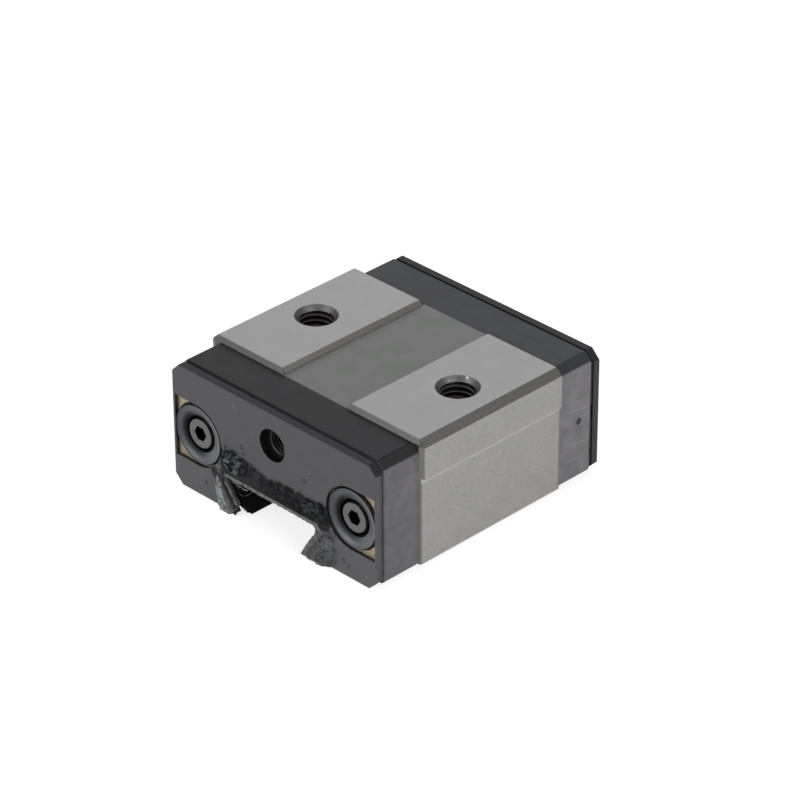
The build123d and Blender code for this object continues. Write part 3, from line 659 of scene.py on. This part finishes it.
def screw_steel(settings):
    """Blackened cap screws worn grey on top, with the head's rim and its socket painted near black as
    painted shade.
    """
    paint = Paint("screw_steel", metallic=1.0)
    radius = away_from(abs(paint.x) - SCREW_X, paint.z - SCREW_Z)
    depth = abs(paint.y)
    worn = paint.noise(0.9, detail=5.0)
    # Outside the head's flat face, the rounded rim is painted near black: painted shade.
    face = paint.ramp(depth, HEAD_FACE - 0.05, HEAD_FACE - 0.02) * paint.ramp(radius, 3.3, 3.1)
    colour = paint.tone(settings.screw_colour, 0.7 + 0.5 * worn)
    colour = paint.mix(face, (0.012, 0.012, 0.012), colour)
    # The socket is painted near black: painted shade in it.
    socket = paint.ramp(radius, 1.95, 1.7) * paint.ramp(depth, HEAD_FACE - 0.03, HEAD_FACE - 0.1)
    colour = paint.mix(socket, colour, (0.003, 0.003, 0.003))
    return paint.finish(colour, 0.38 + 0.15 * worn, paint.bump(worn, 0.03, 0.6))


def plated_steel(settings):
    """Yellow plated seal plates with stains."""
    paint = Paint("plated_steel", metallic=0.6)
    stain = paint.noise(0.8, detail=6.0, roughness=0.75)
    colour = paint.mix(paint.ramp(stain, 0.42, 0.3), settings.plate_colour, (0.8, 0.76, 0.62))
    colour = paint.mix(paint.ramp(stain, 0.53, 0.68), colour, (0.1, 0.07, 0.045))
    return paint.finish(colour, 0.4 + 0.2 * stain, paint.bump(stain, 0.03, 0.6))


def plain_metal(name, colour, rough):
    """Even metal with a fine grain."""
    paint = Paint(name, metallic=1.0)
    grain = paint.noise(0.2, detail=4.0)
    return paint.finish(paint.tone(colour, 0.8 + 0.4 * grain), rough + 0.1 * grain, paint.bump(grain, 0.01))


def moulded(name, shade):
    """Dark moulded resin, faintly clouded."""
    paint = Paint(name)
    grain = paint.noise(0.25, detail=4.0)
    cloud = paint.noise(3.0)
    colour = paint.tone((shade, shade, shade * 1.02), 0.75 + 0.2 * grain + 0.3 * cloud)
    return paint.finish(colour, 0.42 + 0.15 * grain, paint.bump(grain, 0.02))


def own_mesh(name, material):
    """Names the active object, gives it its finish and ties it to the carriage."""
    piece = bpy.context.object
    piece.name = piece.data.name = name
    piece.data.materials.clear()
    piece.data.materials.append(material)
    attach(piece, "root")
    return piece


def finish_mesh(smooth_angle):
    """Merges doubles, points the faces outwards and shades the active mesh."""
    bpy.ops.object.mode_set(mode="EDIT")
    bpy.ops.mesh.select_all(action="SELECT")
    bpy.ops.mesh.remove_doubles(threshold=0.002 * MM)
    bpy.ops.mesh.normals_make_consistent(inside=False)
    bpy.ops.object.mode_set(mode="OBJECT")
    bpy.ops.object.shade_smooth_by_angle(angle=math.radians(smooth_angle))


def thread(name, material, size, pitch, place, tip):
    """Helical ridge in a tapped hole, wound from a four-cornered section towards its tip."""
    bpy.ops.object.select_all(action="DESELECT")
    bpy.ops.mesh.primitive_circle_add(vertices=4, radius=pitch * MM)
    wall, crest = size["wall"], size["crest"]
    section = ((wall, 0.07), (crest, 0.44), (crest, 0.56), (wall, 0.93))
    for vertex, (radius, height) in zip(bpy.context.object.data.vertices, section):
        vertex.co = (radius * MM, 0.0, height * pitch * MM)
    screw = bpy.context.object.modifiers.new("turns", "SCREW")
    screw.angle = 2.0 * math.pi
    screw.screw_offset = pitch * MM
    screw.iterations = size["turns"]
    screw.steps = screw.render_steps = THREAD_STEPS
    bpy.ops.object.modifier_apply(modifier="turns")
    bpy.ops.object.mode_set(mode="EDIT")
    bpy.ops.mesh.select_all(action="DESELECT")
    bpy.ops.mesh.select_mode(type="EDGE")
    bpy.ops.mesh.select_non_manifold()
    bpy.ops.mesh.edge_face_add()
    bpy.ops.object.mode_set(mode="OBJECT")
    turn = Vector((0, 0, 1)).rotation_difference(Vector(tip)).to_matrix().to_4x4()
    bpy.context.object.data.transform(Matrix.Translation(Vector(place) * MM) @ turn)
    finish_mesh(30.0)
    return own_mesh(name, material)


def thread_mouth(name, material, place):
    """Turned ring where the countersink cuts into the first thread."""
    bpy.ops.object.select_all(action="DESELECT")
    bpy.ops.mesh.primitive_circle_add(vertices=len(MOUTH_PROFILE), radius=MM)
    for vertex, (radius, height) in zip(bpy.context.object.data.vertices, MOUTH_PROFILE):
        vertex.co = (radius * MM, 0.0, height * MM)
    turn = bpy.context.object.modifiers.new("turn", "SCREW")
    turn.steps = turn.render_steps = MOUTH_STEPS
    bpy.ops.object.modifier_apply(modifier="turn")
    bpy.context.object.data.transform(Matrix.Translation(Vector(place) * MM))
    finish_mesh(30.0)
    return own_mesh(name, material)


def inside_outline(point, outline):
    """Whether a point lies inside a closed outline, both across and up."""
    x, z = point
    odd = False
    for (x1, z1), (x2, z2) in zip(outline, outline[1:] + outline[:1]):
        if (z1 > z) != (z2 > z) and x < (x2 - x1) * (z - z1) / (z2 - z1) + x1:
            odd = not odd
    return odd


def from_outline(point, outline):
    """Least distance from a point to a closed outline."""
    place = Vector(point)
    least = 1e9
    for first, second in zip(outline, outline[1:] + outline[:1]):
        a, b = Vector(first), Vector(second)
        along = max(0.0, min(1.0, (place - a).dot(b - a) / (b - a).length_squared))
        least = min(least, (place - a - (b - a) * along).length)
    return least


def smear(name, material, outline, front, step, seed, stretch, shoulder, uneven=0.45):
    """Lump with a ragged outline and a rough crown, spread on the front seal's face."""
    back, lift = -SEAL_FACE, 0.01
    xs, zs = [p[0] for p in outline], [p[1] for p in outline]
    wide, high = max(xs) - min(xs) + 2.0, max(zs) - min(zs) + 2.0
    centre = ((max(xs) + min(xs)) / 2, (max(zs) + min(zs)) / 2)
    bpy.ops.object.select_all(action="DESELECT")
    bpy.ops.mesh.primitive_grid_add(
        x_subdivisions=int(wide / step), y_subdivisions=int(high / step), size=1.0
    )
    piece = bpy.context.object
    piece.data.transform(Matrix.Rotation(math.pi / 2, 4, "X"))
    for vertex in piece.data.vertices:
        vertex.co = (vertex.co.x * wide + centre[0], back, vertex.co.z * high + centre[1])

    def wander(x, z, size):
        return noise.fractal(Vector((x * stretch[0], seed, z * stretch[1])) / size, 1.0, 2.2, 4)

    def ragged(x, z):
        return (x + uneven * wander(x, z, 1.3), z + uneven * wander(x + 40.0, z, 1.3))

    drift = {}
    for vertex in piece.data.vertices:
        shifted = ragged(vertex.co.x, vertex.co.z)
        near = from_outline(shifted, outline)
        drift[vertex.index] = near if inside_outline(shifted, outline) else -near
    bpy.ops.object.mode_set(mode="EDIT")
    bpy.ops.mesh.select_mode(type="VERT")
    bpy.ops.mesh.select_all(action="DESELECT")
    bpy.ops.object.mode_set(mode="OBJECT")
    for vertex in piece.data.vertices:
        vertex.select = drift[vertex.index] < 0.0
    bpy.ops.object.mode_set(mode="EDIT")
    bpy.ops.mesh.delete(type="VERT")
    bpy.ops.mesh.select_all(action="SELECT")
    bpy.ops.mesh.delete_loose()
    bpy.ops.mesh.select_all(action="SELECT")
    bpy.ops.mesh.extrude_region_move(TRANSFORM_OT_translate={"value": (0.0, -lift, 0.0)})
    bpy.ops.object.mode_set(mode="OBJECT")
    for vertex in piece.data.vertices:
        x, z = vertex.co.x, vertex.co.z
        if vertex.co.y < back - lift / 2:
            rise = min(1.0, from_outline(ragged(x, z), outline) / shoulder)
            crown = math.sin(rise * math.pi / 2) * (0.78 + 1.1 * uneven * wander(x + 9.0, z, 0.8))
            crown = max(0.04, min(1.0, crown + 0.25 * uneven * wander(x, z + 30.0, 0.35)))
            vertex.co.y = back - (back - front) * crown
        vertex.co.z = max(vertex.co.z, FLOOR_GAP)
    piece.data.transform(Matrix.Scale(MM, 4))
    finish_mesh(60.0)
    return own_mesh(name, material)


def frayed_edge(name, material, points, radius, seed):
    """Uneven bead along the edge of the lip."""
    bpy.ops.object.select_all(action="DESELECT")
    bpy.ops.curve.primitive_bezier_curve_add()
    curve = bpy.context.object.data
    curve.splines.clear()
    spline = curve.splines.new("NURBS")
    spline.points.add(len(points) - 1)
    for place, point in zip(points, spline.points):
        point.co = (place[0] * MM, place[1] * MM, place[2] * MM, 1.0)
        point.radius = 0.8 + 0.4 * noise.noise(Vector((place[0], seed, place[2])) * 0.9)
    spline.order_u = 3
    spline.use_endpoint_u = True
    spline.resolution_u = 14
    curve.dimensions = "3D"
    curve.bevel_depth = radius * MM
    curve.bevel_resolution = 3
    curve.use_fill_caps = True
    bpy.ops.object.convert(target="MESH")
    piece = bpy.context.object
    piece.data.transform(Matrix.Scale(1.0 / MM, 4))
    finish_mesh(60.0)
    normals = [v.normal.copy() for v in piece.data.vertices]
    for vertex, normal in zip(piece.data.vertices, normals):
        push = noise.fractal(Vector(vertex.co) * 1.4 + Vector((seed, 0, 0)), 1.0, 2.1, 4)
        vertex.co += normal * push * radius * 0.55
        vertex.co.y = max(vertex.co.y, LIP_FRONT + 0.02)
        vertex.co.z = max(vertex.co.z, FLOOR_GAP)
    piece.data.transform(Matrix.Scale(MM, 4))
    return own_mesh(name, material)


def colour_field(name, what, colour):
    """A colour that the panel's user may change."""
    return FloatVectorProperty(
        name=name, description=f"Colour of the {what}", default=colour, subtype="COLOR", size=3,
        min=0.0, max=1.0,
    )


class CarriageSettings(PropertyGroup):
    """Colours and sizes of the finish"""

    ground_colour: colour_field("Ground pads", "ground mounting pads", (0.44, 0.44, 0.44))
    band_colour: colour_field("Band", "band between the pads", (0.29, 0.29, 0.29))
    band_tint: colour_field("Band tint", "clouds in the band", (0.265, 0.28, 0.265))
    side_colour: colour_field("Sides", "milled sides", (0.36, 0.357, 0.35))
    side_tint: colour_field("Side tint", "sides low down, which are warmer", (0.385, 0.355, 0.34))
    milled_colour: colour_field("Chamfers", "chamfers along the pads", (0.33, 0.322, 0.305))
    # End chamfers: darker as painted shade.
    end_shade_colour: colour_field("End chamfers", "chamfers at the ends", (0.17, 0.17, 0.168))
    # Step: near white as a painted highlight.
    step_highlight_colour: colour_field("Step", "bright step along the sides", (0.8, 0.79, 0.76))
    mouth_colour: colour_field("Hole mouths", "turned hole mouths", (0.3, 0.3, 0.305))
    # Bores: near black from oil and painted shade.
    bore_oil_and_shade_colour: colour_field("Bores", "oily tapped bores", (0.035, 0.03, 0.026))
    resin_colour: colour_field("Resin", "end caps' tops", (0.008, 0.0085, 0.012))
    # Rear cap's top: paler as a painted reflection.
    resin_rear_reflection_colour: colour_field("Resin haze", "rear cap's hazy top", (0.05, 0.052, 0.06))
    # Caps' sides: far lighter than the tops as painted sheen.
    resin_lit_side_colour: colour_field("Resin sides", "front cap's hazy sides", (0.165, 0.16, 0.172))
    # Rear cap's sides: paler still as a painted reflection.
    resin_rear_lit_side_colour: colour_field("Rear resin sides", "rear cap's paler sides", (0.225, 0.218, 0.23))
    # Seals' faces: lighter than their edges as painted sheen.
    rubber_lit_face_colour: colour_field("Rubber face", "seals' faces", (0.108, 0.105, 0.112))
    # Seals' flanks: lighter as painted sheen.
    rubber_lit_flank_colour: colour_field("Rubber flanks", "seals' sides", (0.1, 0.098, 0.102))
    rubber_low_colour: colour_field("Rubber foot", "seals' faces low down", (0.135, 0.13, 0.138))
    rubber_edge_colour: colour_field("Rubber edge", "seals' edges", (0.024, 0.025, 0.031))
    grease_colour: colour_field("Grease", "old grease", (0.13, 0.17, 0.16))
    foot_colour: colour_field("Foot", "flared rubber at the right foot", (0.15, 0.146, 0.152))
    foot_teal: colour_field("Foot grease", "grease on the right foot", (0.125, 0.165, 0.157))
    foot_light: colour_field("Foot ridges", "ridges on the right foot", (0.4, 0.46, 0.45))
    smudge_colour: colour_field("Smudge", "thin smear between the clumps", (0.026, 0.027, 0.029))
    smudge_light: colour_field("Smudge ridges", "ridges in the thin smear", (0.085, 0.09, 0.092))
    dull_teal: colour_field("Dull grease", "grease by the right collar", (0.045, 0.06, 0.057))
    grease_dark: colour_field("Dark grease", "grease's hollows", (0.011, 0.0125, 0.014))
    grease_light: colour_field("Pale grease", "grease's ridges", (0.26, 0.31, 0.3))
    flap_colour: colour_field("Flap", "torn flap's pale streaks", (0.4, 0.45, 0.44))
    torn_colour: colour_field("Torn rubber", "frayed lip edge", (0.26, 0.255, 0.255))
    torn_dark: colour_field("Torn rubber dark", "hollows between the frays", (0.075, 0.078, 0.08))
    shred_colour: colour_field("Shreds", "thin shreds under the edge", (0.4, 0.41, 0.42))
    strand_colour: colour_field("Strands", "grease strands behind the lip", (0.09, 0.088, 0.085))
    collar_colour: colour_field("Collars", "collars' dishes", (0.2, 0.208, 0.228))
    collar_rim_colour: colour_field("Collar rims", "collars' rims", (0.17, 0.176, 0.19))
    screw_colour: colour_field("Screws", "worn screw heads", (0.24, 0.236, 0.234))
    plate_colour: colour_field("Seal plates", "yellow plating", (0.6, 0.5, 0.34))
    floor_size: FloatProperty(name="Floor size", description="Side of the floor", default=6.0, unit="LENGTH")
    thread_pitch: FloatProperty(
        name="Thread pitch", description="Pitch of the mounting holes' thread, in millimetres", default=1.25
    )
    port_pitch: FloatProperty(
        name="Port pitch", description="Pitch of the grease ports' thread, in millimetres", default=0.75
    )


class CARRIAGE_OT_block(Operator):
    """Finish the steel block"""

    bl_idname = "carriage.block"
    bl_label = "Block"

    def execute(self, context):
        dress("block", ground_steel(context.scene.carriage))
        return {"FINISHED"}


class CARRIAGE_OT_threads(Operator):
    """Cut the threads in the mounting holes and grease ports"""

    bl_idname = "carriage.threads"
    bl_label = "Threads"

    def execute(self, context):
        settings = context.scene.carriage
        steel = thread_steel(settings)
        mouth = mouth_steel(settings)
        for side, word in ((1, "right"), (-1, "left")):
            length = (MOUNT_THREAD["turns"] + 1) * settings.thread_pitch
            place = (side * HOLE_X, 0.0, PAD_TOP - MOUTH_DEPTH - length)
            thread(f"mounting_thread_{word}", steel, MOUNT_THREAD,
                   settings.thread_pitch, place, (0, 0, 1))
            thread_mouth(f"mounting_mouth_{word}", mouth, (side * HOLE_X, 0.0, PAD_TOP))
        resin = moulded("port_thread_resin", 0.02)
        for end, word in ((-1, "front"), (1, "rear")):
            length = (PORT_THREAD["turns"] + 1) * settings.port_pitch
            place = (0.0, end * (PORT_FACE - PORT_LEAD - length), PORT_Z)
            thread(f"port_thread_{word}", resin, PORT_THREAD,
                   settings.port_pitch, place, (0, end, 0))
        return {"FINISHED"}


class CARRIAGE_OT_ends(Operator):
    """Finish the end caps, seals, collars and screws"""

    bl_idname = "carriage.ends"
    bl_label = "Ends"

    def execute(self, context):
        settings = context.scene.carriage
        finishes = {
            "end_cap": cap_resin(settings), "seal_plate": plated_steel(settings),
            "seal_rubber": seal_rubber(settings), "screw_collar": collar_steel(settings),
            "cap_screw": screw_steel(settings),
        }
        for name in NODES:
            for part, material in finishes.items():
                if part in name:
                    dress(name, material)
        return {"FINISHED"}


class CARRIAGE_OT_inside(Operator):
    """Finish the balls, return guides and retainers"""

    bl_idname = "carriage.inside"
    bl_label = "Inside"

    def execute(self, context):
        finishes = {
            "balls": plain_metal("ball_steel", (0.6, 0.6, 0.62), 0.08),
            "return_guide": moulded("guide_resin", 0.1),
            "centre_retainer": moulded("retainer_resin", 0.05),
            "upper_retainer": plain_metal("retainer_steel", (0.4, 0.4, 0.4), 0.4),
        }
        finishes["lower_retainer"] = finishes["centre_retainer"]
        for name in NODES:
            for part, material in finishes.items():
                if name.startswith(part):
                    dress(name, material)
        return {"FINISHED"}


class CARRIAGE_OT_grease(Operator):
    """Add the torn lip edge and the old grease on the front seal"""

    bl_idname = "carriage.grease"
    bl_label = "Torn lip and grease"

    def execute(self, context):
        settings = context.scene.carriage
        dark, teal, pale = settings.grease_dark, settings.grease_colour, settings.grease_light
        left = old_grease("left_grease", dark, teal, pale, (-11.6, 12.6), 5.2, 0.37)
        smudge = settings.smudge_colour
        middle = old_grease("middle_grease", smudge, smudge, settings.smudge_light, (-3.5, 11.0), 12.0)
        right = old_grease("right_grease", dark, settings.dull_teal, teal, (11.0, 11.8), 4.2)
        foot = old_grease("foot_grease", settings.foot_colour, settings.foot_teal, settings.foot_light,
                          (14.9, 3.9), 3.7, 0.455)
        bead = torn_rubber(settings, "torn_rubber", settings.torn_colour)
        shreds = torn_rubber(settings, "torn_shreds", settings.shred_colour)
        strand = torn_rubber(settings, "grease_strand", settings.strand_colour)
        even = (1.0, 1.0)
        smear("grease_left", left, LEFT_CLUMP, -32.5, 0.12, 3.0, even, 0.5)
        smear("grease_left_ridge", left, LEFT_RIDGE, -31.9, 0.1, 5.0, (1.6, 0.6), 0.3, 0.25)
        smear("grease_middle", middle, MIDDLE_SMEAR, -31.5, 0.16, 8.0, (0.6, 1.2), 1.8)
        smear("grease_right", right, RIGHT_CLUMP, -32.5, 0.12, 12.0, even, 0.6)
        smear("foot_flare", foot, FOOT_FLARE, -32.57, 0.11, 17.0, (0.8, 1.3), 1.2, 0.46)
        flap = flap_skin(settings)
        smear("torn_flap", flap, TORN_FLAP, -32.58, 0.11, 23.0, (1.7, 0.35), 0.35, 0.16)
        frayed_edge("frayed_lip_edge", bead, LIP_EDGE, 0.27, 5.0)
        frayed_edge("torn_shreds", shreds, TORN_SHREDS, 0.11, 9.0)
        for number, (points, width) in enumerate(STRANDS):
            frayed_edge(f"grease_strand_{number + 1}", strand, points, width, 31.0 + number)
        return {"FINISHED"}


def soft_light(name, direction, distance, size, radiance):
    """Square lamp facing the carriage from a direction, with a brightness of its surface."""
    data = bpy.data.lights.new(name, "AREA")
    data.shape = "SQUARE"
    data.size = size
    data.energy = radiance * math.pi * size * size
    lamp = bpy.data.objects.new(name, data)
    bpy.context.scene.collection.objects.link(lamp)
    away = Vector(direction).normalized()
    lamp.location = away * distance + Vector((0, 0, LAMP_AIM))
    lamp.rotation_mode = "QUATERNION"
    lamp.rotation_quaternion = away.to_track_quat("Z", "Y")


def studio_camera(context):
    """The photograph's camera, aimed a little below the pads."""
    s, c = math.sin(CAMERA_AZIMUTH), math.cos(CAMERA_AZIMUTH)
    se, ce = math.sin(CAMERA_ELEVATION), math.cos(CAMERA_ELEVATION)
    back = Vector((s * ce, -c * ce, se))
    right = Vector((c, s, 0))
    up = back.cross(right)
    rolled_right = right * math.cos(CAMERA_ROLL) + up * math.sin(CAMERA_ROLL)
    rolled_up = up * math.cos(CAMERA_ROLL) - right * math.sin(CAMERA_ROLL)
    aim = Vector((0, 0, CAD_BOX[1].z - AIM_BELOW_PADS))
    place = aim + back * CAMERA_DISTANCE + rolled_right * CAMERA_SLIDE[0] + rolled_up * CAMERA_SLIDE[1]
    data = bpy.data.cameras.new("camera")
    data.lens = CAMERA_LENS
    camera = bpy.data.objects.new("camera", data)
    context.scene.collection.objects.link(camera)
    turn = Matrix((rolled_right, rolled_up, back)).transposed().to_4x4()
    camera.matrix_world = Matrix.Translation(place) @ turn
    context.scene.camera = camera


def floor_finish():
    """Pale floor that takes the shadow, shows white to the camera and glows in reflections."""
    paint = Paint("floor")
    path = paint.add("ShaderNodeLightPath")
    camera, glossy = path.outputs["Is Camera Ray"], path.outputs["Is Glossy Ray"]
    lit = paint.add("ShaderNodeBsdfDiffuse", {}, {"Color": (0.8, 0.8, 0.8)})
    glow = paint.add("ShaderNodeEmission", {}, {"Color": WHITE, "Strength": FLOOR_GLOW})
    white = paint.add("ShaderNodeEmission", {}, {"Color": WHITE, "Strength": FLOOR_WHITE})
    shown = paint.add("ShaderNodeMixShader", {}, {0: camera, 1: glow.outputs[0], 2: white.outputs[0]})
    both = paint.add("ShaderNodeAddShader", {}, {0: lit.outputs[0], 1: shown.outputs[0]})
    seen = max_of(Wire(paint, camera), glossy)
    mixed = paint.add("ShaderNodeMixShader", {}, {0: seen, 1: lit.outputs[0], 2: both.outputs[0]})
    paint.tree.links.new(mixed.outputs[0], paint.tree.nodes["Material Output"].inputs["Surface"])
    return paint.material


def studio_world(context):
    """Even light from all round, and white where the camera sees past the floor."""
    world = bpy.data.worlds.new("studio")
    context.scene.world = world
    world.use_nodes = True
    nodes, links = world.node_tree.nodes, world.node_tree.links
    light = nodes["Background"]
    light.inputs["Color"].default_value = (*WHITE, 1.0)
    light.inputs["Strength"].default_value = WORLD_LIGHT
    white = nodes.new("ShaderNodeBackground")
    white.inputs["Strength"].default_value = 1.0
    mixer = nodes.new("ShaderNodeMixShader")
    path = nodes.new("ShaderNodeLightPath")
    links.new(path.outputs["Is Camera Ray"], mixer.inputs[0])
    links.new(light.outputs[0], mixer.inputs[1])
    links.new(white.outputs[0], mixer.inputs[2])
    links.new(mixer.outputs[0], nodes["World Output"].inputs["Surface"])


class CARRIAGE_OT_stage(Operator):
    """Set up the floor, lights and camera"""

    bl_idname = "carriage.stage"
    bl_label = "Stage"

    def execute(self, context):
        bpy.ops.mesh.primitive_plane_add(size=context.scene.carriage.floor_size)
        floor = context.object
        floor.name = "floor"
        floor.data.materials.append(floor_finish())
        studio_world(context)
        for lamp in LAMPS:
            soft_light(*lamp)
        context.scene.view_settings.view_transform = "Standard"
        studio_camera(context)
        return {"FINISHED"}


class CARRIAGE_PT_panel(Panel):
    """Buttons that build the carriage's finish"""

    bl_label = "Carriage"
    bl_idname = "CARRIAGE_PT_panel"
    bl_space_type = "VIEW_3D"
    bl_region_type = "UI"
    bl_category = "Carriage"

    def draw(self, context):
        for step in STEPS:
            self.layout.operator(step.bl_idname)


STEPS = (
    CARRIAGE_OT_block, CARRIAGE_OT_threads, CARRIAGE_OT_ends, CARRIAGE_OT_inside, CARRIAGE_OT_grease,
    CARRIAGE_OT_stage,
)
CLASSES = (CarriageSettings, *STEPS, CARRIAGE_PT_panel)


def register():
    for cls in CLASSES:
        bpy.utils.register_class(cls)
    bpy.types.Scene.carriage = PointerProperty(type=CarriageSettings)


def unregister():
    del bpy.types.Scene.carriage
    for cls in reversed(CLASSES):
        bpy.utils.unregister_class(cls)


def main():
    register()
    for step in STEPS:
        group, name = step.bl_idname.split(".")
        getattr(getattr(bpy.ops, group), name)()


if __name__ == "__main__":
    main()
